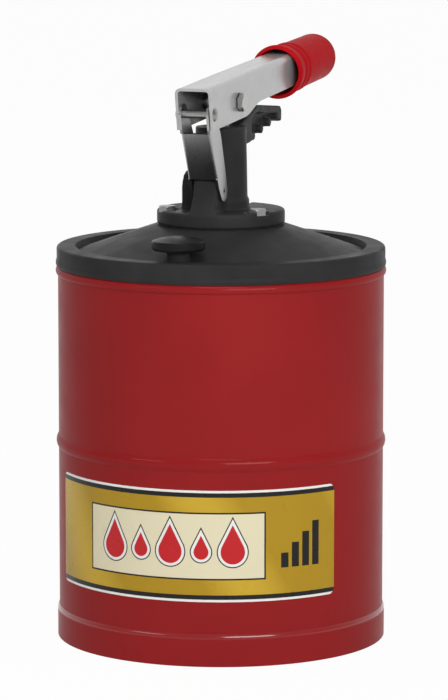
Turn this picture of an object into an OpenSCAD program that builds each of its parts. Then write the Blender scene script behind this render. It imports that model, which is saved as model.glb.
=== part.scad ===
// Manual grease pump: a steel bucket with a pressed lid, a cast pump head with a carrying
// handle, and a sheet steel lever on a swinging link that lifts the pump rod.
// The origin is the centre of the bucket's foot, +Z is up and the lever points along +X.

/* [Bucket] */
// Outside diameter of the bucket wall
wall_od = 200; // [190:1:215]
// Sheet thickness of the bucket wall
wall_t = 1; // [0.8:0.1:1.3]
// Height of the wall's top edge above the ground
wall_top = 240; // [225:1:280]
// Height of the middle bead's centre
mid_bead_z = 122; // [90:1:150]
// Height of the middle bead along the wall
mid_bead_h = 8; // [6:0.5:10]
// Distance from the wall's top edge down to the centre of the top bead
top_bead_drop = 12.9; // [12.8:0.1:16]
// Height of the top bead along the wall
top_bead_h = 5.3; // [4.5:0.1:5.4]
// How far the beads stand out of the wall
bead_out = 1.4; // [1:0.1:1.8]
// Height of the base pan's band round the wall
band_h = 20; // [14:1:26]
// Sheet thickness of the base pan
pan_t = 1; // [0.8:0.1:1.4]
// Height of the soft shoulder at the top of the base pan's band
shoulder_h = 3; // [2:0.2:4]
// Height of the floor's underside above the ground
floor_z = 5; // [4:0.5:8]

/* [Lid] */
// Sheet thickness of the lid
lid_t = 0.7; // [0.6:0.1:0.9]
// Height of the skirt from its lip to the rim's top
skirt_h = 12.2; // [10:0.1:12.2]
// Height of the curled lip at the foot of the skirt
lip_h = 4.2; // [3:0.1:5]
// How far the curled lip stands out of the skirt
lip_out = 0.5; // [0.3:0.1:0.8]
// Radius of the rim's outer edge
rim_r = 1.8; // [1.2:0.1:2.4]
// Width of the flat rim
rim_w = 11.5; // [9:0.5:13]
// Depth of the groove inside the rim
groove_d = 3.7; // [2.5:0.1:4.5]
// Rise of the cone from the groove to the flat top
cone_rise = 16.4; // [13:0.2:20]
// Thickness of the lid's sealing ring
lid_gasket_t = 1.5; // [1:0.1:2]

/* [Filler plug] */
// Distance of the filler plug's axis inside the bucket wall
plug_inset = 20.5; // [20:0.5:26]
// Diameter of the filler neck
neck_d = 14; // [13.5:0.5:16]
// Height of the neck's mouth above the lid's rim
neck_rise = 5; // [4:0.5:8]
// Depth of the neck's foot below the lid's groove
neck_drop = 4; // [2:0.5:6]
// Diameter of the plug's screwed shank
shank_d = 10; // [8:0.5:11]
// Diameter of the plug's knob
knob_d = 32; // [26:1:36]
// Height of the plug's knob
knob_h = 8.4; // [7:0.2:11]
// Thickness of the plug's sealing ring
plug_gasket_t = 1; // [0.8:0.1:1.5]

/* [Pump head] */
// Diameter of the pump head's flange
flange_d = 78.4; // [76:0.2:80]
// Thickness of the flange
flange_h = 8.9; // [8:0.1:11]
// Radius of the flange's edges
flange_edge_r = 1.5; // [1:0.1:2]
// Thickness of the gasket under the flange
flange_gasket_t = 1; // [0.8:0.1:1.6]
// Distance of the bolts' axes inside the flange's edge
bolt_inset = 5.7; // [5:0.1:6.5]
// Diameter of the flange bolts
bolt_d = 6; // [5:0.5:6]
// Width across flats of the bolt heads and nuts
bolt_af = 10; // [9:0.5:11]
// Height of the bolt heads
bolt_head_h = 3.8; // [3.4:0.2:5]
// Depth of the bolts' spot faces
spot_depth = 1.6; // [1:0.1:2.2]
// Diameter of the spot faces
spot_d = 16; // [14:0.5:17]
// Diameter of the column at its foot
column_d1 = 33; // [32:0.2:34]
// Diameter of the column at its top
column_d2 = 31; // [30:0.2:32]
// Height of the column above the flange
column_h = 50.2; // [48.2:1:56.2]
// Diameter of the collar round the column's foot
collar_d = 34.8; // [34.4:0.2:36]
// Height of the collar round the column's foot
collar_h = 6; // [4:0.5:8]

/* [Outlet] */
// Height of the grease outlet above the flange
outlet_rise = 12.2; // [11.2:0.5:14.2]
// Width of the arched outlet boss
outlet_boss_w = 22; // [19:0.5:23]
// Reach of the outlet boss from the column's axis
outlet_reach = 21.6; // [20:0.2:26]
// Diameter of the outlet's threaded hole
outlet_d = 11.4; // [8:0.2:13]

/* [Carrying handle] */
// Reach of the handle from the column's axis
handle_reach = 96; // [92:1:110]
// Width of the handle
handle_w = 17; // [15:0.5:18]
// Distance between finger ridges
finger_pitch = 16.2; // [15:0.1:16.4]
// Radius of the finger hollows
finger_r = 9.5; // [8.5:0.5:10.5]
// Depth of the finger hollows
finger_depth = 2.5; // [1.5:0.1:3.5]
// Depth of the pocket in each side of the handle
pocket_d = 5; // [3:0.5:5.5]
// Thickness of the rail along the handle's top
rail_t = 4.5; // [4:0.1:5.5]
// Thickness of the wall at the handle's end
end_wall_t = 5; // [4:0.5:6]

/* [Link] */
// Distance of the link's lower pin in front of the column's axis
link_pin_x = 22; // [21.5:0.5:24]
// Height of the link's lower pin above the flange
link_pin_rise = 13; // [12.2:0.2:14]
// Diameter of the link's lower pin
link_pin_d = 5; // [4:0.5:6]
// Sheet thickness of the link
link_t = 1.5; // [1.2:0.1:1.8]
// Width over the link's flanges
link_w = 18.9; // [18:0.1:18.9]
// Distance of the web's front face from the line through the link's pins
link_web_u = 7.6; // [7.4:0.1:9]
// Outside radius of the link's folds
link_fold_r = 2; // [1.9:0.1:3.8]
// Distance of the flanges' back edge from the line through the link's pins
link_back_u = 9.4; // [8.8:0.1:11]
// Height of the web's lower edge above the lower pin, along the link
link_web_low = 12.5; // [12:0.5:16]
// Height of the web's upper edge above the lower pin, along the link
link_web_top = 44.5; // [38:0.5:45]
// Radius of the link's round ends
link_end_r = 6.3; // [5.5:0.1:6.5]

/* [Lever] */
// Tilt of the lever at rest
lever_tilt = 3; // [2:0.5:5]
// Height of the pivot bolt above the column's top
pivot_rise = 15; // [14.6:0.2:18]
// Distance from the pivot bolt to the fulcrum pin, along the lever
fulcrum_s = 46; // [44:0.5:48]
// Drop of the fulcrum pin below the pivot bolt, across the lever
fulcrum_drop = 1.3; // [0.5:0.1:2]
// Sheet thickness of the lever
lever_t = 1.8; // [1.5:0.1:1.9]
// Outside width of the lever's front
lever_w = 23; // [22.9:0.1:24]
// Height of the lever's top above the pivot bolt
lever_top_n = 15; // [14:0.1:16]
// Depth of the lever's front cheeks
cheek_h = 25.8; // [25:0.1:26.4]
// Depth of the lever's rear cheeks
tang_h = 20.3; // [19.3:0.1:20.6]
// Outside radius of the folds
fold_r = 3.8; // [3:0.1:5]
// Reach of the lever in front of the pivot bolt
lever_front_s = 53; // [52.4:0.1:55]
// Length of the lever behind the pivot bolt
lever_back_s = 184; // [175:1:186]
// Narrowing of each side of the lever behind the pivot
lever_taper = 0.95; // [0.7:0.05:1.3]
// Diameter of the pivot bolt
pivot_d = 6; // [5:0.5:6]
// Diameter of the fulcrum pin
fulcrum_d = 5; // [4:0.5:6]
// Diameter of the fulcrum pin's heads
fulcrum_head_d = 8.5; // [8:0.5:10]

/* [Grip] */
// Where the grip's mouth lies behind the pivot bolt
grip_s = 111; // [106:1:116]
// Height of the grip's axis above the pivot bolt, across the lever
grip_n = 3.5; // [3:0.1:5]
// Length of the grip
grip_len = 86; // [82:1:97]
// Diameter of the flared mouth
grip_mouth_d = 34.4; // [34:0.2:38]
// Diameter of the grip behind the mouth
grip_d1 = 31.2; // [31:0.1:33]
// Diameter of the grip at its end
grip_d2 = 30.4; // [30.2:0.1:31]
// Depth of the round bore in the grip's mouth
grip_bore_h = 24; // [16:1:30]
// Rise of the two rings round the grip
grip_ring_rise = 0.5; // [0.3:0.1:0.8]

/* [Pump] */
// Outside diameter of the pump barrel
barrel_od = 28; // [27:0.2:28.6]
// Inside diameter of the pump barrel
barrel_id = 22; // [21:0.2:23]
// Height of the foot valve above the bucket's floor
foot_gap = 6; // [4:0.5:10]
// Diameter of the pump rod
rod_d = 10; // [9:0.2:10.4]
// Diameter of the foot valve's ball
foot_ball_d = 16; // [15:0.2:17]
// Diameter of the piston's ball
piston_ball_d = 12; // [11:0.2:12.4]
// Lift of both balls
ball_lift = 3; // [2:0.1:3]
// Clearance round the pivot bolt in the rod's eye
eye_slack = 2.3; // [2.2:0.05:2.5]

/* [Follower] */
// Thickness of the follower plate
follower_t = 1.5; // [1:0.1:2]
// Height of the follower plate's rim
follower_rim_h = 9; // [7:0.5:12]

/* [Clearances] */
// Clearance of pieces pushed together by hand
push_gap = 0.1; // [0.05:0.01:0.15]
// Radial clearance of pins and rods that turn or slide
run_gap = 0.06; // [0.03:0.01:0.1]
// Clearance between faces that pass each other
pass_gap = 0.3; // [0.25:0.05:0.4]
// Radial clearance of the flange bolts in their holes
bolt_gap = 0.3; // [0.2:0.05:0.5]

/* [Hidden] */
$fn = 64;
eps = 0.01;
far = 400;

// Bucket and lid, from the ground up
wall_or = wall_od / 2;
wall_ir = wall_or - wall_t;
pan_or = wall_or + push_gap + pan_t;
shoulder_r = (pan_t * pan_t + shoulder_h * shoulder_h) / (2 * pan_t);
floor_top = floor_z + pan_t;
rim_z = wall_top + lid_gasket_t + lid_t;
skirt_ir = wall_or + push_gap;
skirt_or = skirt_ir + lid_t;
lip_z = rim_z - skirt_h;
rim_inner_r = skirt_or - rim_w;
groove_slope = 1.2;
cone_foot_r = rim_inner_r - groove_slope;
cone_foot_z = rim_z - groove_d;
lid_top_z = cone_foot_z + cone_rise;
flange_z = lid_top_z + flange_gasket_t;
cone_top_r = flange_d / 2 + 1;
plug_x = wall_or - plug_inset;
neck_z = cone_foot_z - neck_drop;

// Pump head
flange_top = flange_z + flange_h;
column_top = flange_top + column_h;
bolt_angles = [0, 120, 240];
bolt_circle_d = flange_d - 2 * bolt_inset;
bolt_hole_r = bolt_d / 2 + bolt_gap;
spot_z = flange_top - spot_depth;
barrel_or = barrel_od / 2;
barrel_ir = barrel_id / 2;
barrel_thread = 13;
barrel_top = flange_z + barrel_thread;
gland_h = 7;
gland_r = 10.5;
packing_h = 9;
packing_r = 9;
packing_seat_t = 6;
chamber_top = column_top - gland_h - packing_h - packing_seat_t;
rod_r = rod_d / 2;
outlet_z = flange_top + outlet_rise;

// Handle outline, measured from the column's axis and top
handle_root_h = 18;
handle_peak = [46, 9.4];
handle_end_top = 4.8;
handle_end_h = 9.6;
ridge_rise = 2.85;
ridge_count = 4;
ridge_r = 2.8;
last_ridge_inset = 7.5;
first_ridge = [handle_reach - last_ridge_inset - (ridge_count - 1) * finger_pitch, -12.2];

// Link and lever pins
link_pin_z = flange_top + link_pin_rise;
pivot_z = column_top + pivot_rise;
fulcrum_x = -fulcrum_s * cos(lever_tilt) + fulcrum_drop * sin(lever_tilt);
fulcrum_z = pivot_z - fulcrum_s * sin(lever_tilt) - fulcrum_drop * cos(lever_tilt);
link_len = norm([fulcrum_x + link_pin_x, fulcrum_z - link_pin_z]);
link_lean = atan2(-link_pin_x - fulcrum_x, fulcrum_z - link_pin_z);
link_in = link_w - 2 * link_t;
boss_toe = 1;
boss_front = 9;
boss_lean = 0.5;
boss_top = 7;
boss_w = link_in - 2 * pass_gap;
lever_in = lever_w - 2 * lever_t;
cheek_low_n = lever_top_n - cheek_h;
tang_low_n = lever_top_n - tang_h;
cheek_end_s = 12;
tang_start_s = 46;
taper_s = 18;
front_rake = 3.6;
grip_ring_z = [17, 25];
hex_ratio = 2 / sqrt(3);
pivot_head_h = 4;
pivot_nut_h = 5;
washer_t = 1.2;
washer_d = 12;
eye_r = 9;
eye_w = 12;

// Pump inside the bucket
foot_z = floor_top + foot_gap;
foot_r = barrel_or + 3;
foot_h = 18;
foot_floor_h = 8;
barrel_z = foot_z + foot_floor_h;
foot_bore_r = 5;
foot_seat_apex = barrel_z - barrel_ir + 2;
foot_ball_z = foot_seat_apex + (foot_ball_d / 2 + pass_gap) * sqrt(2);
stop_pin_d = 3;
stop_pin_z = foot_ball_z + ball_lift + foot_ball_d / 2 + pass_gap + stop_pin_d / 2;
piston_gap = 4;
piston_z = stop_pin_z + stop_pin_d / 2 + piston_gap;
piston_h = 36;
piston_r = barrel_ir - run_gap;
piston_land_h = 13;
piston_neck_r = 9;
piston_inlet_r = 4;
piston_chamber_r = 7;
piston_seat_h = 6;
piston_seat_z = piston_z + piston_seat_h;
piston_seat_apex = piston_seat_z - piston_inlet_r;
piston_ball_z = piston_seat_apex + (piston_ball_d / 2 + pass_gap) * sqrt(2);
piston_chamber_top = piston_ball_z + ball_lift + piston_ball_d / 2 + pass_gap;
piston_port_d = 6;
rod_thread = 8;
rod_z = piston_z + piston_h - rod_thread;
seal_z = piston_z + 3;
seal_h = 5;
seal_r = 9;

// Follower plate, resting on the foot valve's shoulder
follower_z = foot_z + foot_h + pass_gap;
hub_lip_t = 2.4;
hub_lip_w = 6;
hub_r = barrel_or + hub_lip_w;
hub_hole_r = barrel_or + 2.2;
follower_r = wall_ir - 2.6;
wiper_t = 2;

// Section of a bead that swells out of a wall: a slice of a circle beyond radius r
module bead_section(r, z, h, out, side) {
    bead_r = (h * h / 4 + out * out) / (2 * out);
    intersection() {
        translate([r + out - bead_r, z]) circle(r = bead_r - side);
        translate([r - wall_t, z - h]) square([wall_t + out + 1, 2 * h]);
    }
}

// A ring between two radii
module ring(r_in, r_out, h) {
    difference() {
        cylinder(r = r_out, h = h);
        translate([0, 0, -1]) cylinder(r = r_in, h = h + 2);
    }
}

// A hexagon prism of a given width across flats
module hex(af, h) {
    cylinder(d = af * hex_ratio, h = h, $fn = 6);
}

// A hexagon bolt head with its top corners turned off
module hex_head(af, h) {
    run_in = af * 0.28;
    intersection() {
        hex(af, h);
        translate([0, 0, -run_in]) cylinder(d1 = af * 2.2, d2 = af * 0.95, h = h + run_in);
    }
}

// A cylinder along Y, centred on the lever plane
module cross_bore(r, w) {
    rotate([90, 0, 0]) cylinder(r = r, h = w, center = true);
}

// An outline in the XZ plane with a thickness along Y, centred on the lever plane
module plate(w) {
    rotate([90, 0, 0]) linear_extrude(w, center = true) children();
}

// Repeats its children at each flange bolt
module at_bolts() {
    for (a = bolt_angles) rotate([0, 0, a]) translate([bolt_circle_d / 2, 0, 0]) children();
}

// The lever's own frame: origin on the pivot bolt, X along the lever
module lever_frame() {
    translate([0, 0, pivot_z]) rotate([0, -lever_tilt, 0]) children();
}

// The link's own frame: origin on the lower pin, Z along the link, X towards the column
module link_frame() {
    translate([-link_pin_x, 0, link_pin_z]) rotate([0, -link_lean, 0]) children();
}

// Rolled steel wall with two swaged beads
module bucket_shell() {
    top_bead_z = wall_top - top_bead_drop;
    color("firebrick") rotate_extrude($fn = 128) difference() {
        union() {
            translate([wall_ir, floor_top]) square([wall_t, wall_top - floor_top]);
            bead_section(wall_or, mid_bead_z, mid_bead_h, bead_out, 0);
            bead_section(wall_or, top_bead_z, top_bead_h, bead_out, 0);
        }
        bead_section(wall_or, mid_bead_z, mid_bead_h, bead_out, wall_t);
        bead_section(wall_or, top_bead_z, top_bead_h, bead_out, wall_t);
    }
}

// Pressed base pan: a band round the wall, a hemmed foot and the floor
module bucket_bottom() {
    color("firebrick") rotate_extrude($fn = 128) {
        translate([pan_or - pan_t, pan_t]) square([pan_t, band_h - shoulder_h - pan_t]);
        intersection() {
            translate([pan_or - shoulder_r, band_h - shoulder_h]) circle(r = shoulder_r);
            translate([pan_or - pan_t, band_h - shoulder_h - eps]) square([pan_t, shoulder_h]);
        }
        translate([pan_or - 2 * pan_t, pan_t / 2]) square([2 * pan_t, floor_z]);
        translate([pan_or - 1.5 * pan_t, 0]) square([pan_t, pan_t]);
        for (r = [pan_or - pan_t / 2, pan_or - 1.5 * pan_t])
            translate([r, pan_t / 2]) circle(d = pan_t);
        translate([0, floor_z]) square([pan_or - pan_t / 2, pan_t]);
    }
}

// Half section of the space under the lid's top surface, lowered by a sheet thickness t
module lid_form(t) {
    top = rim_z - t;
    edge = rim_r - t;
    translate([skirt_or - rim_w / 2, lip_z - t]) square([rim_w / 2 - t, top - edge - lip_z + t]);
    translate([skirt_or - rim_r, top - edge]) circle(r = edge);
    polygon([
        [0, lip_z], [skirt_or - rim_r, lip_z], [skirt_or - rim_r, top], [rim_inner_r + t, top],
        [cone_foot_r + t, cone_foot_z - t], [cone_foot_r - t, cone_foot_z - t],
        [cone_top_r, lid_top_z - t], [0, lid_top_z - t]
    ]);
}

// Pressed steel lid with a conical middle, a flat rim and a curled lip
module lid() {
    color("#2b2b2c") difference() {
        rotate_extrude($fn = 128) difference() {
            union() {
                difference() {
                    lid_form(0);
                    lid_hollow();
                }
                intersection() {
                    bead_section(skirt_or, lip_z + lip_h / 2, lip_h, lip_out, 0);
                    translate([skirt_ir, lip_z]) square([lip_out + lid_t + 1, lip_h]);
                }
            }
            square([barrel_or + 1, far]);
        }
        at_bolts() translate([0, 0, lid_top_z - lid_t - 1]) cylinder(r = bolt_hole_r, h = lid_t + 2);
        translate([-plug_x, 0, neck_z]) cylinder(d = neck_d + 2 * push_gap, h = lid_top_z - neck_z);
    }
}

// Half section of the hollow under the lid's sheet, open at the skirt's foot
module lid_hollow() {
    lid_form(lid_t);
    translate([0, lip_z - 1]) square([skirt_ir, 2]);
}

// Sealing ring between the wall's top edge and the lid's rim
module lid_gasket() {
    color("#1a1a1a") translate([0, 0, wall_top]) ring(wall_ir - 4, skirt_or - rim_r, lid_gasket_t);
}

// Screwed bush welded into the lid
module filler_neck() {
    color("#2b2b2c") translate([-plug_x, 0, neck_z])
        ring(shank_d / 2 + run_gap, neck_d / 2, rim_z + neck_rise - neck_z);
}

// Moulded knob on a screwed shank
module filler_plug() {
    knob_z = rim_z + neck_rise + plug_gasket_t;
    foot_edge = 1.6;
    shoulder = 1.2;
    dome_r = knob_d * 1.4;
    edge_z = knob_h - dome_r + sqrt(dome_r * dome_r - pow(knob_d / 2 - shoulder, 2));
    color("#222223") translate([-plug_x, 0, knob_z]) {
        rotate_extrude() {
            intersection() {
                translate([0, knob_h - dome_r]) circle(r = dome_r, $fn = 128);
                union() {
                    square([knob_d / 2 - foot_edge, knob_h]);
                    translate([0, foot_edge]) square([knob_d / 2, edge_z - foot_edge - shoulder]);
                    translate([knob_d / 2 - foot_edge, foot_edge]) circle(r = foot_edge);
                    translate([knob_d / 2 - shoulder, edge_z - shoulder]) circle(r = shoulder);
                    square([knob_d / 2 - shoulder, knob_h]);
                }
            }
        }
        translate([0, 0, -neck_rise - 5]) cylinder(d = shank_d, h = neck_rise + 6);
    }
}

// Soft washer under the knob
module plug_gasket() {
    color("#111111") translate([-plug_x, 0, rim_z + neck_rise])
        ring(shank_d / 2 + push_gap, neck_d / 2, plug_gasket_t);
}

// Gasket between the lid and the pump head's flange
module flange_gasket() {
    color("#3a3530") translate([0, 0, lid_top_z]) difference() {
        ring(barrel_or + 1, flange_d / 2 - 1, flange_gasket_t);
        at_bolts() translate([0, 0, -1]) cylinder(r = bolt_hole_r, h = flange_gasket_t + 2);
    }
}

// Side outline of the carrying handle, hollowed between the finger ridges
module handle_outline() {
    end_low = handle_end_top - handle_end_h;
    edge = 2.5;
    difference() {
        polygon([
            [0, 0], [column_d2 / 2 - 2, 0], handle_peak,
            [handle_reach - edge, handle_end_top], [handle_reach, handle_end_top - edge],
            [handle_reach - 0.5, end_low], [handle_reach - end_wall_t, end_low],
            [first_ridge[0] - ridge_r, first_ridge[1]], [column_d2 / 2 + 3, first_ridge[1] - 2],
            [column_d2 / 2 - 1, -handle_root_h], [0, -handle_root_h]
        ]);
        for (i = [0.5 : ridge_count - 1.5])
            translate([finger_pitch, ridge_rise] * i + first_ridge + [0, finger_depth - finger_r])
                circle(r = finger_r);
    }
}

// The finger ridges, seen from the side
module ridge_outline() {
    for (i = [0 : ridge_count - 1])
        translate([finger_pitch, ridge_rise] * i + first_ridge + [0, ridge_r]) circle(r = ridge_r);
}

// Outline of the pocket in the handle's sides: under the rail, open downwards
module pocket_outline() {
    start = first_ridge[0] - 2 * ridge_r;
    slope = handle_peak[1] / (handle_peak[0] - column_d2 / 2 + 2);
    polygon([
        [start, handle_peak[1] - rail_t - slope * (handle_peak[0] - start)],
        handle_peak - [0, rail_t], [handle_reach - end_wall_t, handle_end_top - rail_t],
        [handle_reach - end_wall_t, -handle_root_h], [first_ridge[0], -handle_root_h],
        first_ridge + [-ridge_r, ridge_r]
    ]);
}

// Cast head: flange, column, link boss, arched outlet boss and carrying handle
module pump_head() {
    color("#2a2a2b") difference() {
        union() {
            flange_disc();
            translate([0, 0, flange_top]) cylinder(d1 = column_d1, d2 = column_d2, h = column_h);
            translate([0, 0, flange_top - 1]) cylinder(d = collar_d, h = collar_h + 1);
            link_boss();
            outlet_boss();
            translate([0, 0, column_top]) carrying_handle();
        }
        at_bolts() {
            translate([0, 0, spot_z]) cylinder(d = spot_d, h = spot_depth + 1);
            translate([0, 0, flange_z - 1]) cylinder(r = bolt_hole_r, h = flange_h + 2);
        }
        translate([0, 0, flange_z - 1]) cylinder(r = barrel_or + run_gap, h = barrel_thread + 1);
        translate([0, 0, flange_z]) cylinder(r = barrel_ir, h = chamber_top - flange_z);
        translate([0, 0, flange_z]) cylinder(r = rod_r + run_gap, h = far);
        translate([0, 0, column_top - gland_h - packing_h]) cylinder(r = packing_r, h = far);
        translate([0, 0, column_top - gland_h]) cylinder(r = gland_r, h = far);
        translate([0, 0, outlet_z]) rotate([-90, 0, 0]) cylinder(d = outlet_d, h = far);
        translate([-link_pin_x, 0, link_pin_z]) cross_bore(link_pin_d / 2, link_w);
    }
}

// Handle with a rail, side pockets, finger ridges across it and an end wall
module carrying_handle() {
    difference() {
        plate(handle_w) handle_outline();
        for (side = [-1, 1])
            translate([0, side * (handle_w - pocket_d + 1) / 2, 0]) plate(pocket_d + 1) pocket_outline();
    }
    plate(handle_w) ridge_outline();
}

// Round flange with rounded edges
module flange_disc() {
    r = flange_d / 2;
    e = flange_edge_r;
    translate([0, 0, flange_z]) rotate_extrude($fn = 128) {
        square([r - e, flange_h]);
        square([r, flange_h - e]);
        translate([r - e, flange_h - e]) circle(r = e);
    }
}

// Buttress that carries the link's lower pin, with its toe at the flange's edge
module link_boss() {
    nose_r = link_web_u - link_t - pass_gap;
    toe = link_pin_x - flange_d / 2 + boss_toe;
    foot = flange_top - link_pin_z;
    root = foot - flange_h / 2;
    back_low = 2.4 * nose_r;
    back_high = back_low + 4;
    translate([-link_pin_x, 0, link_pin_z]) plate(boss_w) {
        polygon([
            [link_pin_x, root], [toe, root], [toe, foot], [-boss_front, -link_pin_d / 2],
            [-boss_front + boss_lean, boss_top], [0, nose_r], [nose_r, back_low],
            [link_pin_x, back_high]
        ]);
        circle(r = nose_r);
    }
}

// Arched boss round the grease outlet
module outlet_boss() {
    rotate([0, 0, 180]) rotate([90, 0, 0]) linear_extrude(outlet_reach) {
        translate([0, outlet_z]) circle(d = outlet_boss_w);
        translate([-outlet_boss_w / 2, flange_top - 1]) square([outlet_boss_w, outlet_rise + 1]);
    }
}

// Hexagon bolts through the flange and the lid
module flange_bolts() {
    shank = flange_h - spot_depth + flange_gasket_t + lid_t + 9;
    color("#8d8f91") at_bolts() {
        translate([0, 0, spot_z]) rotate([0, 0, 15]) hex_head(bolt_af, bolt_head_h);
        translate([0, 0, spot_z - shank]) cylinder(d = bolt_d, h = shank + 1);
    }
}

// Plain washers under the lid
module flange_washers() {
    color("#9a9c9e") at_bolts() translate([0, 0, lid_top_z - lid_t - washer_t])
        ring(bolt_d / 2 + push_gap, washer_d / 2, washer_t);
}

// Nuts under the lid
module flange_nuts() {
    color("#8d8f91") at_bolts() translate([0, 0, lid_top_z - lid_t - washer_t - bolt_head_h - 1])
        difference() {
            hex(bolt_af, bolt_head_h + 1);
            translate([0, 0, -1]) cylinder(d = bolt_d + 2 * push_gap, h = bolt_head_h + 3);
        }
}

// Soft packing round the rod
module rod_packing() {
    color("#c9b98f") translate([0, 0, column_top - gland_h - packing_h])
        ring(rod_r + run_gap, packing_r - push_gap, packing_h);
}

// Screwed ring that holds the packing, with two spanner slots
module gland_ring() {
    slot = [3, 2 * gland_r + 2, 2.5];
    color("#b08d3c") translate([0, 0, column_top - gland_h]) difference() {
        ring(rod_r + run_gap, gland_r - push_gap, gland_h);
        translate([-slot[0] / 2, -slot[1] / 2, gland_h - slot[2]]) cube([slot[0], slot[1], slot[2] + 1]);
    }
}

// Hollow spring pin through the link boss
module link_pin() {
    color("#77797b") translate([-link_pin_x, 0, link_pin_z]) difference() {
        cross_bore(link_pin_d / 2 - run_gap / 2, link_w);
        cross_bore(link_pin_d / 4, link_w + 2);
    }
}

// Side outline of one link flange in the link's frame, with round ends
module link_flange_outline() {
    back_v = 32;
    low_v = link_web_low - 6;
    difference() {
        union() {
            circle(r = link_end_r);
            translate([0, link_len]) circle(r = link_end_r);
            polygon([
                [-link_web_u, low_v], [-link_web_u, link_web_top + 3], [-link_end_r, link_len],
                [link_end_r, link_len], [link_back_u, back_v + 4], [link_back_u, back_v],
                [link_end_r, 0], [-link_end_r, 0]
            ]);
        }
        circle(r = link_pin_d / 2 + run_gap);
        translate([0, link_len]) circle(r = fulcrum_d / 2 + run_gap);
    }
}

// Folded channel link: two flanges and the web between them
module link() {
    web_h = link_web_top - link_web_low;
    color("#a9abad") link_frame() difference() {
        union() {
            for (side = [-1, 1])
                translate([0, side * (link_w - link_t) / 2, 0]) plate(link_t) link_flange_outline();
            difference() {
                translate([-link_web_u, -link_w / 2 + eps, link_web_low])
                    cube([link_fold_r, link_w - 2 * eps, web_h]);
                link_section(link_t);
            }
        }
        difference() {
            translate([-link_web_u - 1, -link_w, link_web_low]) cube([link_fold_r + 1, 2 * link_w, web_h]);
            link_section(0);
        }
    }
}

// Cross section of the link's outside or, with t, of its hollow, with rounded folds
module link_section(t) {
    fold = link_fold_r - t;
    w = link_w / 2 - t;
    front = t - link_web_u;
    translate([0, 0, -link_end_r]) linear_extrude(link_len + 2 * link_end_r) {
        translate([front + fold, -w]) square([2 * link_web_u, 2 * w]);
        translate([front, fold - w]) square([fold + 1, 2 * (w - fold)]);
        for (side = [-1, 1]) translate([front + fold, side * (w - fold)]) circle(r = fold);
    }
}

// Cross section of one side of the lever's outside or, with t, of its hollow
module lever_section(t) {
    w = lever_w / 2 - t;
    r = fold_r - t;
    top = lever_top_n - t;
    low = cheek_low_n - 1;
    translate([-lever_w, low]) square([lever_w + w - r, top - low]);
    translate([-lever_w, low]) square([lever_w + w, top - r - low]);
    translate([w - r, top - r]) circle(r = r);
}

// One side of the lever's form: straight past the pivot, then drawn in by the taper
module lever_side(t, front, back) {
    w = lever_w / 2 - t;
    run_out = 5;
    intersection() {
        translate([-front, 0, 0]) rotate([90, 0, 90]) linear_extrude(front + back) lever_section(t);
        translate([taper_s, w, 0]) rotate([0, 0, -lever_taper])
            translate([-front - taper_s - run_out, -w, 0]) rotate([90, 0, 90])
                linear_extrude(front + back + 2 * run_out) lever_section(t);
    }
}

// The lever's form from both sides
module lever_form(t, front, back) {
    intersection() {
        lever_side(t, front, back);
        mirror([0, 1, 0]) lever_side(t, front, back);
    }
}

// Lower edge of the cheeks: deep in front, then a smooth rise to the tang
function cheek_edge(s) =
    let (k = min(1, max(0, (s - cheek_end_s) / (tang_start_s - cheek_end_s))))
    cheek_low_n + (tang_low_n - cheek_low_n) * (1 - cos(180 * k)) / 2;

// Side outline of the lever, with its raked front
module lever_outline() {
    steps = 12;
    rise = [for (i = [0 : steps]) cheek_end_s + (tang_start_s - cheek_end_s) * i / steps];
    polygon(concat(
        [[-lever_front_s, lever_top_n + 1], [-lever_front_s + front_rake, cheek_low_n]],
        [for (s = rise) [s, cheek_edge(s)]],
        [[lever_back_s, tang_low_n], [lever_back_s, lever_top_n + 1]]
    ));
}

// Folded sheet lever, open underneath, with bores for the pivot bolt and the fulcrum pin
module lever() {
    color("#b4b5b7") lever_frame() difference() {
        intersection() {
            lever_form(0, lever_front_s + 2, lever_back_s);
            plate(lever_w + 10) lever_outline();
        }
        lever_form(lever_t, lever_front_s + 5, lever_back_s + 5);
        cross_bore(pivot_d / 2 + push_gap, lever_w + 10);
        translate([-fulcrum_s, 0, -fulcrum_drop]) cross_bore(fulcrum_d / 2 + push_gap, lever_w + 10);
    }
}

// Half section of the grip's outside, from its flared mouth to its closed round end
module grip_section() {
    edge = 1.5;
    flare_h = 8;
    end_r = 8;
    body_r = grip_d1 / 2;
    end_z = grip_len - end_r;
    mouth_r = grip_mouth_d / 2;
    polygon([
        [0, 0], [mouth_r - edge, 0], [mouth_r, edge], [mouth_r, 2 * edge], [body_r + edge / 2, flare_h],
        [body_r, flare_h + 4], [grip_d2 / 2, end_z], [0, end_z]
    ]);
    translate([0, end_z - 1]) square([grip_d2 / 2 - end_r, end_r + 1]);
    intersection() {
        translate([grip_d2 / 2 - end_r, end_z]) circle(r = end_r);
        translate([0, end_z - end_r]) square([grip_d2, 2 * end_r]);
    }
    for (z = grip_ring_z) polygon([
        [0, z - 2], [body_r - grip_ring_rise, z - 2], [body_r + grip_ring_rise, z - 1],
        [body_r + grip_ring_rise, z + 1], [body_r - grip_ring_rise, z + 2], [0, z + 2]
    ]);
}

// Moulded grip pushed over the lever's tang, open round it at the mouth
module grip() {
    wall = 2.4;
    thin_wall = 1.9;
    color("#b3202a") lever_frame() difference() {
        translate([grip_s, 0, grip_n]) rotate([0, 90, 0]) rotate_extrude($fn = 96) grip_section();
        intersection() {
            lever_form(-push_gap, 0, lever_back_s + push_gap);
            translate([grip_s - 1, -lever_w, tang_low_n - push_gap])
                cube([lever_back_s + push_gap - grip_s + 1, 2 * lever_w, tang_h + 2 * push_gap]);
        }
        translate([grip_s - eps, 0, grip_n]) rotate([0, 90, 0])
            cylinder(r1 = grip_mouth_d / 2 - wall, r2 = grip_d1 / 2 - thin_wall, h = grip_bore_h);
    }
}

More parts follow.
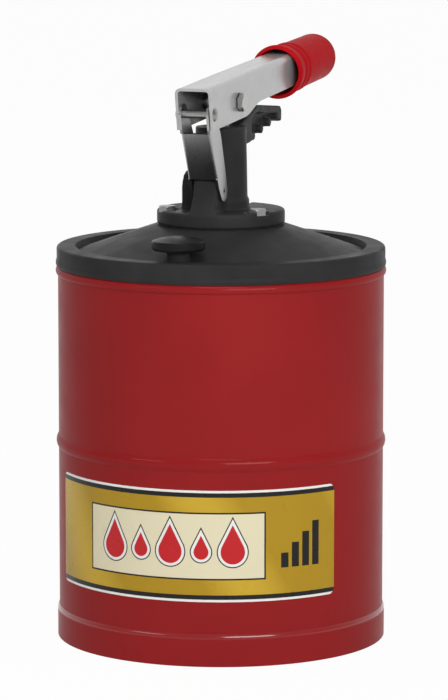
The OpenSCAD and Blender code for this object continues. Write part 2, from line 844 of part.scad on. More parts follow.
// A domed head for a pin along Y, with its flat face at the origin
module domed_head(d, h) {
    dome_r = (d * d / 4 + h * h) / (2 * h);
    rotate([90, 0, 0]) intersection() {
        translate([0, 0, h - dome_r]) sphere(r = dome_r);
        cylinder(d = d, h = h);
    }
}

// Riveted pin that joins the lever to the link
module fulcrum_pin() {
    head_h = 1.7;
    color("#96989a") lever_frame() translate([-fulcrum_s, 0, -fulcrum_drop]) {
        cross_bore(fulcrum_d / 2, lever_w + 2);
        translate([0, -lever_w / 2, 0]) domed_head(fulcrum_head_d, head_h);
        mirror([0, 1, 0]) translate([0, -lever_w / 2, 0]) domed_head(fulcrum_head_d, head_h);
    }
}

// Hexagon bolt on which the rod's eye hangs
module pivot_bolt() {
    reach = lever_w / 2 + washer_t + pivot_nut_h + 1.5;
    color("#85878a") lever_frame() {
        translate([0, reach, 0]) rotate([90, 0, 0]) cylinder(d = pivot_d, h = reach + lever_w / 2 + 1);
        translate([0, -lever_w / 2, 0]) rotate([90, 0, 0]) rotate([0, 0, 30])
            hex_head(bolt_af, pivot_head_h);
    }
}

// Nut on the far cheek
module pivot_nut() {
    color("#85878a") lever_frame() translate([0, lever_w / 2 + washer_t, 0]) rotate([-90, 0, 0])
        difference() {
            hex(bolt_af, pivot_nut_h);
            translate([0, 0, -1]) cylinder(d = pivot_d + 2 * push_gap, h = pivot_nut_h + 2);
        }
}

// Washer under the pivot nut
module pivot_washer() {
    color("#9a9c9e") lever_frame() translate([0, lever_w / 2, 0]) rotate([-90, 0, 0])
        ring(pivot_d / 2 + push_gap, washer_d / 2, washer_t);
}

// Two rings that keep the rod's eye in the middle of the lever
module pivot_spacers() {
    inner = eye_w / 2 + pass_gap;
    spacer_t = lever_in / 2 - inner - push_gap;
    color("#9a9c9e") lever_frame() for (side = [-90, 90]) rotate([side, 0, 0])
        translate([0, 0, inner]) ring(pivot_d / 2 + push_gap, washer_d / 2 - 1, spacer_t);
}

// Drawn tube screwed into the pump head and hanging down to the bucket's floor
module pump_barrel() {
    color("#9fa1a3") difference() {
        translate([0, 0, barrel_z]) ring(barrel_ir, barrel_or, barrel_top - barrel_z);
        translate([0, 0, stop_pin_z]) cross_bore(stop_pin_d / 2, barrel_od + 2);
    }
}

// Turned foot with the conical seat of the inlet ball, screwed over the barrel's end
module foot_valve() {
    color("#b08d3c") difference() {
        translate([0, 0, foot_z]) cylinder(r = foot_r, h = foot_h);
        translate([0, 0, foot_z - 1]) cylinder(r = foot_bore_r, h = foot_h);
        translate([0, 0, foot_seat_apex + eps])
            cylinder(r1 = eps, r2 = barrel_z - foot_seat_apex, h = barrel_z - foot_seat_apex);
        translate([0, 0, barrel_z]) cylinder(r = barrel_or + run_gap, h = foot_h);
    }
}

// Pin across the barrel that stops the inlet ball
module foot_stop_pin() {
    color("#85878a") translate([0, 0, stop_pin_z]) cross_bore(stop_pin_d / 2 - run_gap, barrel_od);
}

// Ball of the inlet valve, resting over its seat
module foot_ball() {
    color("#c8cacc") translate([0, 0, foot_ball_z]) sphere(d = foot_ball_d);
}

// Rod with a flat eye for the pivot bolt
module piston_rod() {
    color("#b9bbbd") difference() {
        union() {
            translate([0, 0, rod_z]) cylinder(r = rod_r, h = pivot_z - eye_r + 2 - rod_z);
            translate([0, 0, pivot_z]) cross_bore(eye_r, eye_w);
        }
        translate([0, 0, pivot_z]) cross_bore(pivot_d / 2 + eye_slack, eye_w + 2);
    }
}

// Hollow piston with a ball chamber, side ports and a seal groove
module piston() {
    color("#b08d3c") difference() {
        union() {
            translate([0, 0, piston_z]) cylinder(r = piston_r, h = piston_land_h);
            translate([0, 0, piston_z]) cylinder(r = piston_neck_r, h = piston_h);
        }
        translate([0, 0, seal_z]) ring(seal_r, barrel_ir + 1, seal_h);
        translate([0, 0, piston_z - 1]) cylinder(r = piston_inlet_r, h = piston_h / 2);
        translate([0, 0, piston_seat_z - eps])
            cylinder(r1 = piston_inlet_r, r2 = piston_chamber_r, h = piston_chamber_r - piston_inlet_r);
        translate([0, 0, piston_seat_z + piston_chamber_r - piston_inlet_r - 2 * eps])
            cylinder(r = piston_chamber_r,
                h = piston_chamber_top - piston_seat_z - piston_chamber_r + piston_inlet_r);
        translate([0, 0, piston_chamber_top - piston_port_d / 2 - 1])
            cross_bore(piston_port_d / 2, barrel_od);
        translate([0, 0, rod_z]) cylinder(r = rod_r + run_gap, h = piston_h);
    }
}

// Seal ring in the piston's groove
module piston_seal() {
    color("#222222") translate([0, 0, seal_z + push_gap])
        ring(seal_r + push_gap, piston_r, seal_h - 2 * push_gap);
}

// Ball of the piston's valve, resting over its seat
module piston_ball() {
    color("#c8cacc") translate([0, 0, piston_ball_z]) sphere(d = piston_ball_d);
}

// Pressed disc that lies on the grease, with a turned-up rim
module follower_plate() {
    color("#8f9193") translate([0, 0, follower_z + hub_lip_t + push_gap]) {
        ring(hub_hole_r, follower_r, follower_t);
        ring(follower_r - follower_t, follower_r, follower_rim_h);
    }
}

// Rubber wiper round the follower plate's rim
module follower_wiper() {
    wiper_z = follower_z + hub_lip_t + push_gap;
    color("#1c1c1c") translate([0, 0, wiper_z])
        ring(follower_r + push_gap, wall_ir - pass_gap, follower_rim_h + wiper_t);
}

// Rubber grommet between the follower plate and the barrel
module follower_seal() {
    waist = follower_t + 2 * push_gap;
    color("#1c1c1c") translate([0, 0, follower_z]) {
        ring(barrel_or + pass_gap, hub_r, hub_lip_t);
        ring(barrel_or + pass_gap, hub_hole_r - push_gap, 2 * hub_lip_t + waist);
        translate([0, 0, hub_lip_t + waist]) ring(barrel_or + pass_gap, hub_r, hub_lip_t);
    }
}

bucket_shell();
bucket_bottom();
lid();
lid_gasket();
filler_neck();
filler_plug();
plug_gasket();
flange_gasket();
pump_head();
flange_bolts();
flange_washers();
flange_nuts();
rod_packing();
gland_ring();
link_pin();
link();
lever();
grip();
fulcrum_pin();
pivot_bolt();
pivot_nut();
pivot_washer();
pivot_spacers();
pump_barrel();
foot_valve();
foot_stop_pin();
foot_ball();
piston_rod();
piston();
piston_seal();
piston_ball();
follower_plate();
follower_wiper();
follower_seal();
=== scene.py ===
import math
import bpy
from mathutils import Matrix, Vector


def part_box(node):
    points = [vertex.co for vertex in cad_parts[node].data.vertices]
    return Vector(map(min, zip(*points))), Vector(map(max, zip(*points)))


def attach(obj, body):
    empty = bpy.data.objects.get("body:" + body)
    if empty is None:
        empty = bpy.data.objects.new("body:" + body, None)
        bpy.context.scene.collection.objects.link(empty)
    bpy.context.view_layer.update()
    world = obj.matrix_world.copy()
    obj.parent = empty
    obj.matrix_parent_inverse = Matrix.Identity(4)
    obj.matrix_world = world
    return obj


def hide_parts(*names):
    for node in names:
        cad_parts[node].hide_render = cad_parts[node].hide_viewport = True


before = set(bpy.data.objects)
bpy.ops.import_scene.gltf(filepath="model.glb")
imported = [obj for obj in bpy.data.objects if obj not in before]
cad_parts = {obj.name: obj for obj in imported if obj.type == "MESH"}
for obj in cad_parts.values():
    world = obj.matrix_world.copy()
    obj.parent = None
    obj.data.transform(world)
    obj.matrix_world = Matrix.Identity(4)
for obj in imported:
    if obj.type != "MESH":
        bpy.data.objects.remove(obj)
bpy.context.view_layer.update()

bpy.ops.object.select_all(action="DESELECT")


# Bucket wall: steel sheet rolled to a cylinder and seam welded, with two beads swaged out of it.
# It is powder coated red inside and out. The coat has a faint orange peel and an even satin sheen.
def new_finish(name, metallic, roughness, specular=0.5, coat=0.0, coat_roughness=0.1):
    finish = bpy.data.materials.new(name)
    finish.use_nodes = True
    shader = finish.node_tree.nodes["Principled BSDF"]
    shader.inputs["Metallic"].default_value = metallic
    shader.inputs["Roughness"].default_value = roughness
    shader.inputs["Specular IOR Level"].default_value = specular
    shader.inputs["Coat Weight"].default_value = coat
    shader.inputs["Coat Roughness"].default_value = coat_roughness
    return finish


def feed(finish, output, socket):
    shader = finish.node_tree.nodes["Principled BSDF"]
    finish.node_tree.links.new(output, shader.inputs[socket])


def add_noise(finish, scale, detail, stretch=(1.0, 1.0, 1.0)):
    nodes, links = finish.node_tree.nodes, finish.node_tree.links
    place = nodes.new("ShaderNodeTexCoord")
    mapping = nodes.new("ShaderNodeMapping")
    mapping.inputs["Scale"].default_value = stretch
    noise = nodes.new("ShaderNodeTexNoise")
    noise.inputs["Scale"].default_value = scale
    noise.inputs["Detail"].default_value = detail
    links.new(place.outputs["Object"], mapping.inputs["Vector"])
    links.new(mapping.outputs["Vector"], noise.inputs["Vector"])
    return noise.outputs["Fac"]


def spread(finish, value, start, end, low, high, smooth=False):
    band = finish.node_tree.nodes.new("ShaderNodeMapRange")
    if smooth:
        band.interpolation_type = "SMOOTHSTEP"
    band.inputs["From Min"].default_value = start
    band.inputs["From Max"].default_value = end
    band.inputs["To Min"].default_value = low
    band.inputs["To Max"].default_value = high
    finish.node_tree.links.new(value, band.inputs["Value"])
    return band.outputs["Result"]


# nearly all of a noise's values lie between these two
noise_low, noise_high = 0.3, 0.7


def colour_between(finish, fac, dark, light, start=noise_low, end=noise_high):
    ramp = finish.node_tree.nodes.new("ShaderNodeValToRGB")
    first, last = ramp.color_ramp.elements
    first.position = start
    first.color = (*dark, 1.0)
    last.position = end
    last.color = (*light, 1.0)
    finish.node_tree.links.new(fac, ramp.inputs["Fac"])
    feed(finish, ramp.outputs["Color"], "Base Color")
    return ramp.outputs["Color"]


def roughness_between(finish, fac, low, high):
    feed(finish, spread(finish, fac, noise_low, noise_high, low, high), "Roughness")


def raise_grain(finish, fac, strength, depth):
    bump = finish.node_tree.nodes.new("ShaderNodeBump")
    bump.inputs["Strength"].default_value = strength
    bump.inputs["Distance"].default_value = depth
    finish.node_tree.links.new(fac, bump.inputs["Height"])
    feed(finish, bump.outputs["Normal"], "Normal")


def dress(node, finish):
    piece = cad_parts[node]
    piece.data.materials.clear()
    piece.data.materials.append(finish)


satin_coat = 0.14
bucket_red = new_finish("bucket_red_powder_coat", metallic=0.0, roughness=0.4, specular=0.02,
                        coat=satin_coat, coat_roughness=0.12)
mottle = add_noise(bucket_red, scale=14, detail=5)
colour_between(bucket_red, mottle, dark=(0.252, 0.0112, 0.0122), light=(0.29, 0.0137, 0.0147))
roughness_between(bucket_red, add_noise(bucket_red, scale=60, detail=4), low=0.35, high=0.45)
raise_grain(bucket_red, add_noise(bucket_red, scale=900, detail=2), strength=0.06, depth=0.0003)
dress("bucket_shell", bucket_red)


# Base pan: a shallow steel pressing pushed over the wall's foot and crimped, with a hemmed edge.
# It has the same red coat as the wall, rubbed glossy along the shoulder at the top of its band.
def object_place(finish):
    place = finish.node_tree.nodes.new("ShaderNodeTexCoord")
    split = finish.node_tree.nodes.new("ShaderNodeSeparateXYZ")
    finish.node_tree.links.new(place.outputs["Object"], split.inputs["Vector"])
    return split.outputs


shoulder_h = 0.003
shoulder_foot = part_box("bucket_bottom")[1][2] - shoulder_h
rub_edge = 0.2 * shoulder_h
rubbed_coat = 1.0
base_red = bucket_red.copy()
base_red.name = "base_red_powder_coat"
rubbed = spread(base_red, object_place(base_red)["Z"], shoulder_foot - rub_edge, shoulder_foot + rub_edge,
                satin_coat, rubbed_coat, smooth=True)
feed(base_red, rubbed, "Coat Weight")
dress("bucket_bottom", base_red)


# Sticker on the front of the bucket: printed vinyl with round corners, pressed on to the lower wall.
# The print is a gold field with a painted sheen, between dark rails, with a cream window, grease drops and
# level bars.
wall_r = 0.1
sticker_middle = math.radians(184.2)
sticker_w = 0.199
sticker_low, sticker_high = 0.0395, 0.107
sticker_corner = 0.004
glue_t = 0.00006
vinyl_t = 0.00015
bends = 80
bpy.ops.mesh.primitive_plane_add(size=1, location=(0, 0, 0))
sticker = bpy.context.object
sticker.name = "front_sticker"
sticker.scale = (sticker_w, sticker_high - sticker_low, 1)
bpy.ops.object.transform_apply(location=True, rotation=True, scale=True)
bpy.ops.object.mode_set(mode="EDIT")
bpy.ops.mesh.select_all(action="SELECT")
bpy.ops.mesh.bevel(offset=sticker_corner, segments=8, affect="VERTICES")
for step in range(1, bends):
    bpy.ops.mesh.select_all(action="SELECT")
    bpy.ops.mesh.bisect(plane_co=(sticker_w * (step / bends - 0.5), 0, 0), plane_no=(1, 0, 0))
bpy.ops.object.mode_set(mode="OBJECT")
for vertex in sticker.data.vertices:
    turn = sticker_middle + vertex.co.x / wall_r
    height = (sticker_low + sticker_high) / 2 + vertex.co.y
    out = wall_r + glue_t
    vertex.co = (out * math.cos(turn), out * math.sin(turn), height)
bpy.ops.object.mode_set(mode="EDIT")
bpy.ops.mesh.select_all(action="SELECT")
bpy.ops.mesh.normals_make_consistent(inside=False)
bpy.ops.object.mode_set(mode="OBJECT")
# the sticker is on the -X side, so its faces have to point that way
if sum(face.normal.x for face in sticker.data.polygons) > 0:
    bpy.ops.object.mode_set(mode="EDIT")
    bpy.ops.mesh.select_all(action="SELECT")
    bpy.ops.mesh.flip_normals()
    bpy.ops.object.mode_set(mode="OBJECT")
vinyl = sticker.modifiers.new("vinyl", "SOLIDIFY")
vinyl.thickness = vinyl_t
vinyl.offset = 1.0
bpy.ops.object.modifier_apply(modifier="vinyl")
bpy.ops.object.shade_smooth_by_angle(angle=math.radians(40))

sticker_print = new_finish("sticker_print", metallic=0.0, roughness=0.3, specular=0.2)


def math_node(finish, operation, *values):
    node = finish.node_tree.nodes.new("ShaderNodeMath")
    node.operation = operation
    for socket, value in zip(node.inputs, values):
        if isinstance(value, (int, float)):
            socket.default_value = value
        else:
            finish.node_tree.links.new(value, socket)
    return node.outputs[0]


def on_print(operation, *values):
    return math_node(sticker_print, operation, *values)


# u runs along the sticker and v up it, both in millimetres from its middle
millimetres = 1000.0
spot = object_place(sticker_print)
flipped_x = on_print("MULTIPLY", spot["X"], -1.0)
flipped_y = on_print("MULTIPLY", spot["Y"], -1.0)
angle = on_print("ARCTAN2", flipped_y, flipped_x)
arc = wall_r * millimetres
u = on_print("MULTIPLY_ADD", angle, arc, -arc * (sticker_middle - math.pi))
v = on_print("MULTIPLY_ADD", spot["Z"], millimetres, -millimetres * (sticker_low + sticker_high) / 2)


def within(value, middle, half):
    off = on_print("ABSOLUTE", on_print("SUBTRACT", value, middle))
    return on_print("LESS_THAN", off, half)


def block(middle_u, half_u, middle_v, half_v):
    return on_print("MULTIPLY", within(u, middle_u, half_u), within(v, middle_v, half_v))


def beyond(half_v):
    return on_print("SUBTRACT", 1.0, within(v, 0.0, half_v))


def drop(middle_u, middle_v, r):
    tip_slope = -0.5
    tip_w = 1.13 * r
    tip_start = 0.35 * r
    du = on_print("SUBTRACT", u, middle_u)
    dv = on_print("SUBTRACT", v, middle_v)
    far = on_print("SQRT", on_print("ADD", on_print("MULTIPLY", du, du), on_print("MULTIPLY", dv, dv)))
    belly = on_print("LESS_THAN", far, r)
    side = on_print("ABSOLUTE", du)
    inside = on_print("LESS_THAN", side, on_print("MULTIPLY_ADD", dv, tip_slope, tip_w))
    tip = on_print("MULTIPLY", inside, on_print("GREATER_THAN", dv, tip_start))
    return on_print("MAXIMUM", belly, tip)


def print_over(ground, mask, ink):
    mix = sticker_print.node_tree.nodes.new("ShaderNodeMix")
    mix.data_type = "RGBA"
    sticker_print.node_tree.links.new(mask, mix.inputs["Factor"])
    sticker_print.node_tree.links.new(ground, mix.inputs[6])
    mix.inputs[7].default_value = (*ink, 1.0)
    return mix.outputs[2]


rail_black = (0.012, 0.011, 0.011)
cream = (0.72, 0.66, 0.46)
drop_red = (0.5, 0.016, 0.02)
pale = (0.78, 0.77, 0.74)
dark_gold = (0.40, 0.245, 0.012)
light_gold = (0.55, 0.36, 0.03)
# painted sheen: the gold runs lighter and darker in broad diagonal bands
sheen_along, sheen_up = 0.06, 0.035
sheen = on_print("SINE", on_print("MULTIPLY_ADD", v, sheen_up, on_print("MULTIPLY", u, sheen_along)))
inks = colour_between(sticker_print, sheen, dark_gold, light_gold, start=0.0, end=1.0)

window_u = -6.0
window_half_w, window_half_h, frame_line = 57.0, 19.5, 1.0
window_frame = block(window_u, window_half_w + frame_line, 0.0, window_half_h + frame_line)
inks = print_over(inks, window_frame, rail_black)
inks = print_over(inks, block(window_u, window_half_w, 0.0, window_half_h), cream)

drop_v = -3.5
large_drop, small_drop = 8.0, 5.2
outline, ring, inset = 1.6, 0.9, 0.7
for drop_u, r in ((-44.0, large_drop), (-6.0, large_drop), (32.0, large_drop), (-25.0, small_drop),
                  (13.0, small_drop)):
    inks = print_over(inks, drop(drop_u, drop_v, r + outline), rail_black)
    inks = print_over(inks, drop(drop_u, drop_v, r + ring), pale)
    inks = print_over(inks, drop(drop_u, drop_v, r - inset), drop_red)

first_bar_u, bar_pitch, bar_half_w, bar_foot_v = 64.0, 7.0, 2.4, -14.0
for bar, tall in enumerate((9.0, 15.0, 21.0, 27.0)):
    level_bar = block(first_bar_u + bar_pitch * bar, bar_half_w, bar_foot_v + tall / 2, tall / 2)
    inks = print_over(inks, level_bar, rail_black)

rail_v, border_v = 29.6, 32.3
inks = print_over(inks, beyond(rail_v), rail_black)
inks = print_over(inks, beyond(border_v), pale)
feed(sticker_print, inks, "Base Color")
roughness_between(sticker_print, add_noise(sticker_print, scale=120, detail=3), low=0.26, high=0.36)
sticker.data.materials.append(sticker_print)
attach(sticker, "base")


# Lid: deep drawn steel sheet with a conical middle, a flat rim and a curled lip over the wall's edge.
# It is coated in satin black, a little uneven in tone and sheen.
lid_black = new_finish("lid_black_coat", metallic=0.0, roughness=0.4, specular=0.03)
mottle = add_noise(lid_black, scale=30, detail=5)
colour_between(lid_black, mottle, dark=(0.026, 0.025, 0.0255), light=(0.037, 0.0356, 0.0364))
roughness_between(lid_black, add_noise(lid_black, scale=80, detail=4), low=0.34, high=0.46)
raise_grain(lid_black, add_noise(lid_black, scale=1100, detail=2), strength=0.08, depth=0.0003)
dress("lid", lid_black)


# Filler neck: a short steel bush turned from bar, which takes the filler plug's screwed shank.
# It is welded into the lid and coated black with it.
dress("filler_neck", lid_black)


# Filler plug: a knob with a domed top on a screwed shank, moulded in black plastic.
# The plastic is fine grained, with patches that shine a little more.
knob_black = new_finish("knob_black_plastic", metallic=0.0, roughness=0.4, specular=0.1)
mottle = add_noise(knob_black, scale=70, detail=4)
colour_between(knob_black, mottle, dark=(0.008, 0.008, 0.0082), light=(0.013, 0.013, 0.0132))
roughness_between(knob_black, add_noise(knob_black, scale=160, detail=3), low=0.3, high=0.44)
raise_grain(knob_black, add_noise(knob_black, scale=2500, detail=2), strength=0.1, depth=0.0002)
dress("filler_plug", knob_black)


# Sealing rings: flat rings and lipped seals at the lid, plug, flange, piston and follower plate.
# They are moulded in black rubber and pressed between the pieces, matt and faintly mottled.
seal_rubber = new_finish("seal_rubber", metallic=0.0, roughness=0.75, specular=0.3)
mottle = add_noise(seal_rubber, scale=200, detail=4)
colour_between(seal_rubber, mottle, dark=(0.008, 0.008, 0.008), light=(0.016, 0.016, 0.016))
roughness_between(seal_rubber, add_noise(seal_rubber, scale=400, detail=3), low=0.65, high=0.85)
for node in ("lid_gasket", "plug_gasket", "flange_gasket", "piston_seal", "follower_wiper", "follower_seal"):
    dress(node, seal_rubber)


# Pump head: one grey iron casting with flange, column, link boss, outlet boss and finger-ridged handle.
# It is painted black over the sand skin, so every edge is soft and the surface is finely grained.
casting_black = new_finish("casting_black_paint", metallic=0.0, roughness=0.4, specular=0.04)
mottle = add_noise(casting_black, scale=45, detail=5)
colour_between(casting_black, mottle, dark=(0.026, 0.025, 0.0256), light=(0.038, 0.0366, 0.0374))
roughness_between(casting_black, add_noise(casting_black, scale=130, detail=4), low=0.34, high=0.46)
raise_grain(casting_black, add_noise(casting_black, scale=420, detail=4), strength=0.16, depth=0.0006)

sand_grain = 0.0009
head = bpy.data.objects.new("cast_pump_head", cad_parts["pump_head"].data.copy())
bpy.context.scene.collection.objects.link(head)
head.data.materials.clear()
head.data.materials.append(casting_black)
bpy.ops.object.select_all(action="DESELECT")
head.select_set(True)
bpy.context.view_layer.objects.active = head
bpy.ops.object.mode_set(mode="EDIT")
bpy.ops.mesh.select_all(action="SELECT")
bpy.ops.mesh.remove_doubles(threshold=0.00001)
bpy.ops.object.mode_set(mode="OBJECT")
sand = head.modifiers.new("sand", "REMESH")
sand.mode = "VOXEL"
sand.voxel_size = sand_grain
sand.use_smooth_shade = True
soft = head.modifiers.new("soft", "SMOOTH")
soft.factor = 0.5
soft.iterations = 4
bpy.ops.object.modifier_apply(modifier="sand")
bpy.ops.object.modifier_apply(modifier="soft")
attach(head, "base")
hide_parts("pump_head")


# Gland ring: a turned steel ring with two spanner slots, screwed into the column's top over the packing.
# It is painted black with the casting.
dress("gland_ring", casting_black)


# Bolts, nuts, washers, pins and spacers: cold headed and turned steel, plated with zinc.
# They hold the flange on the lid and carry the link and the lever. The plating has a cloudy grey bloom.
zinc = new_finish("zinc_plate", metallic=1.0, roughness=0.38)
bloom = add_noise(zinc, scale=300, detail=4)
colour_between(zinc, bloom, dark=(0.31, 0.31, 0.305), light=(0.38, 0.38, 0.372))
roughness_between(zinc, add_noise(zinc, scale=300, detail=2), low=0.32, high=0.4)
for node in ("flange_bolts", "flange_washers", "flange_nuts", "link_pin", "fulcrum_pin", "pivot_nut",
             "pivot_washer", "pivot_spacers"):
    dress(node, zinc)


# Pivot bolt: a hexagon bolt of cold headed steel, plated brighter than the flange bolts.
# It goes through both cheeks of the lever and the rod's eye, and its nut holds it on the far cheek.
# The foot of its head and its shank are painted darker, a painted shade in the corner under the head.
bolt_head_h = 0.004
shade_band_w = 0.0011
shade_level = 0.12
head_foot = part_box("pivot_bolt")[0][1] + bolt_head_h
bright_zinc = new_finish("bright_zinc_plate", metallic=1.0, roughness=0.3)
bloom = add_noise(bright_zinc, scale=300, detail=4)
plated = colour_between(bright_zinc, bloom, dark=(0.42, 0.42, 0.415), light=(0.5, 0.5, 0.49))
roughness_between(bright_zinc, add_noise(bright_zinc, scale=300, detail=2), low=0.26, high=0.34)
# painted shade: darkens the foot of the head and the whole shank to a fraction of the plating's colour
painted_shade = spread(bright_zinc, object_place(bright_zinc)["Y"], head_foot - shade_band_w, head_foot - shade_band_w / 2,
              1.0, shade_level)
darken = bright_zinc.node_tree.nodes.new("ShaderNodeVectorMath")
darken.operation = "SCALE"
bright_zinc.node_tree.links.new(plated, darken.inputs[0])
bright_zinc.node_tree.links.new(painted_shade, darken.inputs["Scale"])
feed(bright_zinc, darken.outputs["Vector"], "Base Color")
dress("pivot_bolt", bright_zinc)


# Lever: one blank of galvanised sheet folded to a channel, with a deep front and a shallower tang.
# It turns on the fulcrum pin. The zinc is smooth and pale, with faint drawing marks along its length.
galvanised = new_finish("galvanised_sheet", metallic=0.4, roughness=0.3)
bloom = add_noise(galvanised, scale=90, detail=5)
colour_between(galvanised, bloom, dark=(0.42, 0.416, 0.416), light=(0.46, 0.456, 0.456))
streaks = add_noise(galvanised, scale=150, detail=4, stretch=(0.2, 1.0, 1.0))
roughness_between(galvanised, streaks, low=0.18, high=0.25)
drawing_marks = add_noise(galvanised, scale=500, detail=3, stretch=(0.08, 1.0, 1.0))
raise_grain(galvanised, drawing_marks, strength=0.02, depth=0.0001)
dress("lever", galvanised)


# Link: a short channel folded from bright rolled sheet, with a round edge along each fold.
# It swings on a pin through the casting's boss and carries the lever on the fulcrum pin.
rolled_sheet = new_finish("rolled_sheet", metallic=1.0, roughness=0.3)
bloom = add_noise(rolled_sheet, scale=90, detail=5)
colour_between(rolled_sheet, bloom, dark=(0.40, 0.397, 0.396), light=(0.43, 0.427, 0.426))
streaks = add_noise(rolled_sheet, scale=40, detail=3, stretch=(1.0, 1.0, 0.4))
roughness_between(rolled_sheet, streaks, low=0.265, high=0.285)
rolling_marks = add_noise(rolled_sheet, scale=400, detail=2, stretch=(1.0, 1.0, 0.08))
raise_grain(rolled_sheet, rolling_marks, strength=0.01, depth=0.0001)
dress("link", rolled_sheet)


# Grip: red plastic moulded as a thick sleeve with a flared mouth and a closed round end.
# It is pushed over the lever's tang, and shines softly.
grip_red = new_finish("grip_red_plastic", metallic=0.0, roughness=0.36, specular=0.008)
mottle = add_noise(grip_red, scale=40, detail=4)
colour_between(grip_red, mottle, dark=(0.42, 0.006, 0.010), light=(0.49, 0.008, 0.013))
roughness_between(grip_red, add_noise(grip_red, scale=200, detail=3), low=0.3, high=0.42)
raise_grain(grip_red, add_noise(grip_red, scale=700, detail=2), strength=0.04, depth=0.0003)
dress("grip", grip_red)


# Pump barrel, rod, balls, stop pin and follower plate: drawn, turned and pressed steel, left bright.
# The barrel is screwed into the pump head and hangs in the grease, which keeps it oiled.
bright_steel = new_finish("bright_steel", metallic=0.95, roughness=0.28)
drawn = (1.0, 1.0, 0.1)
bloom = add_noise(bright_steel, scale=120, detail=4, stretch=drawn)
colour_between(bright_steel, bloom, dark=(0.42, 0.42, 0.42), light=(0.56, 0.56, 0.57))
streaks = add_noise(bright_steel, scale=500, detail=3, stretch=drawn)
roughness_between(bright_steel, streaks, low=0.2, high=0.36)
for node in ("pump_barrel", "piston_rod", "foot_ball", "piston_ball", "foot_stop_pin", "follower_plate"):
    dress(node, bright_steel)


# Piston and foot valve: turned brass, dulled to a brownish gold.
# The piston is screwed on the rod's foot, and the valve over the barrel's end.
turned_brass = new_finish("turned_brass", metallic=0.9, roughness=0.35)
tarnish = add_noise(turned_brass, scale=150, detail=5)
colour_between(turned_brass, tarnish, dark=(0.40, 0.27, 0.085), light=(0.58, 0.41, 0.15))
tool_marks = add_noise(turned_brass, scale=600, detail=3, stretch=(1.0, 1.0, 8.0))
roughness_between(turned_brass, tool_marks, low=0.28, high=0.45)
for node in ("piston", "foot_valve"):
    dress(node, turned_brass)


# Rod packing: plaited cotton rings soaked in tallow, in the bore at the column's top.
# The gland ring presses them round the rod.
tallow_packing = new_finish("tallow_packing", metallic=0.0, roughness=0.8, specular=0.3)
strands = add_noise(tallow_packing, scale=900, detail=4)
colour_between(tallow_packing, strands, dark=(0.30, 0.24, 0.13), light=(0.52, 0.44, 0.27))
raise_grain(tallow_packing, add_noise(tallow_packing, scale=900, detail=3), strength=0.5, depth=0.0005)
dress("rod_packing", tallow_packing)


# Studio floor: a wide pale matt sheet under the bucket, which runs out to the backdrop.
# It shows nearly white and keeps a little of the bucket's shadow.
def seen_plainly(finish):
    rays = finish.node_tree.nodes.new("ShaderNodeLightPath").outputs
    mirrored = math_node(finish, "MAXIMUM", rays["Is Glossy Ray"], rays["Is Transmission Ray"])
    return math_node(finish, "MAXIMUM", rays["Is Camera Ray"], mirrored)


paper_white = 0.96
bpy.ops.object.select_all(action="DESELECT")
bpy.ops.mesh.primitive_plane_add(size=12, location=(0, 0, 0))
floor = bpy.context.object
floor.name = "studio_floor"
floor_white = new_finish("floor_white", metallic=0.0, roughness=0.9, specular=0.0)
nodes, links = floor_white.node_tree.nodes, floor_white.node_tree.links
matt = nodes["Principled BSDF"]
matt.inputs["Base Color"].default_value = (0.9, 0.9, 0.9, 1)
glow = nodes.new("ShaderNodeEmission")
glow.inputs["Strength"].default_value = 1.0
lift = nodes.new("ShaderNodeMixShader")
links.new(math_node(floor_white, "MULTIPLY", seen_plainly(floor_white), paper_white), lift.inputs["Fac"])
links.new(matt.outputs["BSDF"], lift.inputs[1])
links.new(glow.outputs["Emission"], lift.inputs[2])
links.new(lift.outputs["Shader"], nodes["Material Output"].inputs["Surface"])
floor.data.materials.append(floor_white)


# Surround and lamps: a white backdrop, a dimmer room on the camera's side and four soft boxes.
# Metal and paint mirror both the backdrop and the room, and the boxes light the bucket evenly.
surround = bpy.data.worlds.new("white_surround")
bpy.context.scene.world = surround
surround.use_nodes = True
nodes, links = surround.node_tree.nodes, surround.node_tree.links
soft_light = nodes["Background"]
soft_light.inputs["Color"].default_value = (1, 1, 1, 1)
soft_light.inputs["Strength"].default_value = 0.36
white = nodes.new("ShaderNodeBackground")
white.inputs["Color"].default_value = (1, 1, 1, 1)
choose = nodes.new("ShaderNodeMixShader")
links.new(seen_plainly(surround), choose.inputs["Fac"])
links.new(soft_light.outputs["Background"], choose.inputs[1])
links.new(white.outputs["Background"], choose.inputs[2])
links.new(choose.outputs["Shader"], nodes["World Output"].inputs["Surface"])

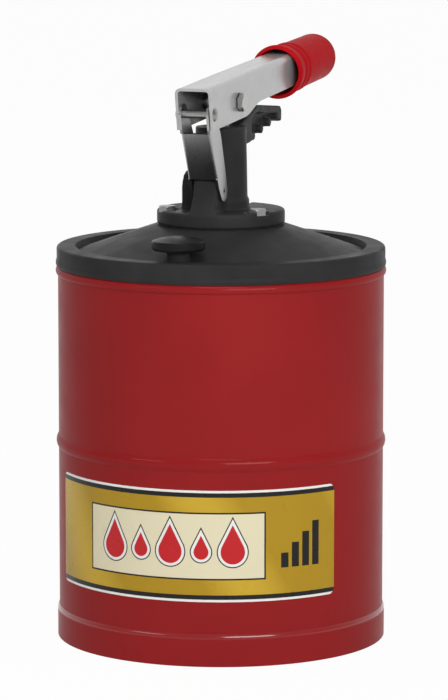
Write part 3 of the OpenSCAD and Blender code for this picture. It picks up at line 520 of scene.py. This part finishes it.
room_dim = 0.3
room_start, backdrop_start = -0.2, 0.75
way = nodes.new("ShaderNodeTexCoord")
towards_back = nodes.new("ShaderNodeVectorMath")
towards_back.operation = "DOT_PRODUCT"
towards_back.inputs[1].default_value = (0.948, 0.317, 0.0)
links.new(way.outputs["Generated"], towards_back.inputs[0])
room = spread(surround, towards_back.outputs["Value"], room_start, backdrop_start, room_dim, paper_white,
              smooth=True)
camera_ray = nodes.new("ShaderNodeLightPath").outputs["Is Camera Ray"]
plain_back = math_node(surround, "MULTIPLY", camera_ray, paper_white)
links.new(math_node(surround, "MAXIMUM", plain_back, room), white.inputs["Strength"])


def turn_to(place, aim):
    return (Vector(aim) - Vector(place)).to_track_quat("-Z", "Y").to_euler()


def soft_box(name, place, size, power):
    lamp = bpy.data.lights.new(name, "AREA")
    lamp.shape = "RECTANGLE"
    lamp.size, lamp.size_y = size
    lamp.energy = power
    box = bpy.data.objects.new(name, lamp)
    box.location = place
    box.rotation_euler = turn_to(place, aim=(0, 0, 0.2))
    bpy.context.scene.collection.objects.link(box)


soft_box("key_box", place=(-1.9, -1.5, 0.9), size=(1.5, 0.6), power=29)
soft_box("fill_box", place=(-1.8, 1.25, 1.0), size=(0.9, 0.3), power=4)
soft_box("back_box", place=(1.5, 1.7, 1.7), size=(1.6, 1.6), power=6)
soft_box("top_box", place=(-0.9, -0.3, 2.1), size=(0.9, 0.9), power=12)


# Camera: a long lens in front of the filler plug, a little above the lid.
# Its place, aim and focal length in pixels give the photograph's view.
sensor = 36
focal_px = 4169
photo_h = 700
camera_place = (-2.4068, -0.8053, 0.554)
lens = bpy.data.cameras.new("photo_camera")
lens.sensor_width = sensor
lens.lens = focal_px * sensor / photo_h
lens.clip_start = 0.1
camera = bpy.data.objects.new("photo_camera", lens)
camera.location = camera_place
camera.rotation_euler = turn_to(camera_place, aim=(0.00059, -0.00176, 0.1768))
bpy.context.scene.collection.objects.link(camera)
bpy.context.scene.camera = camera
bpy.context.scene.view_settings.view_transform = "Standard"
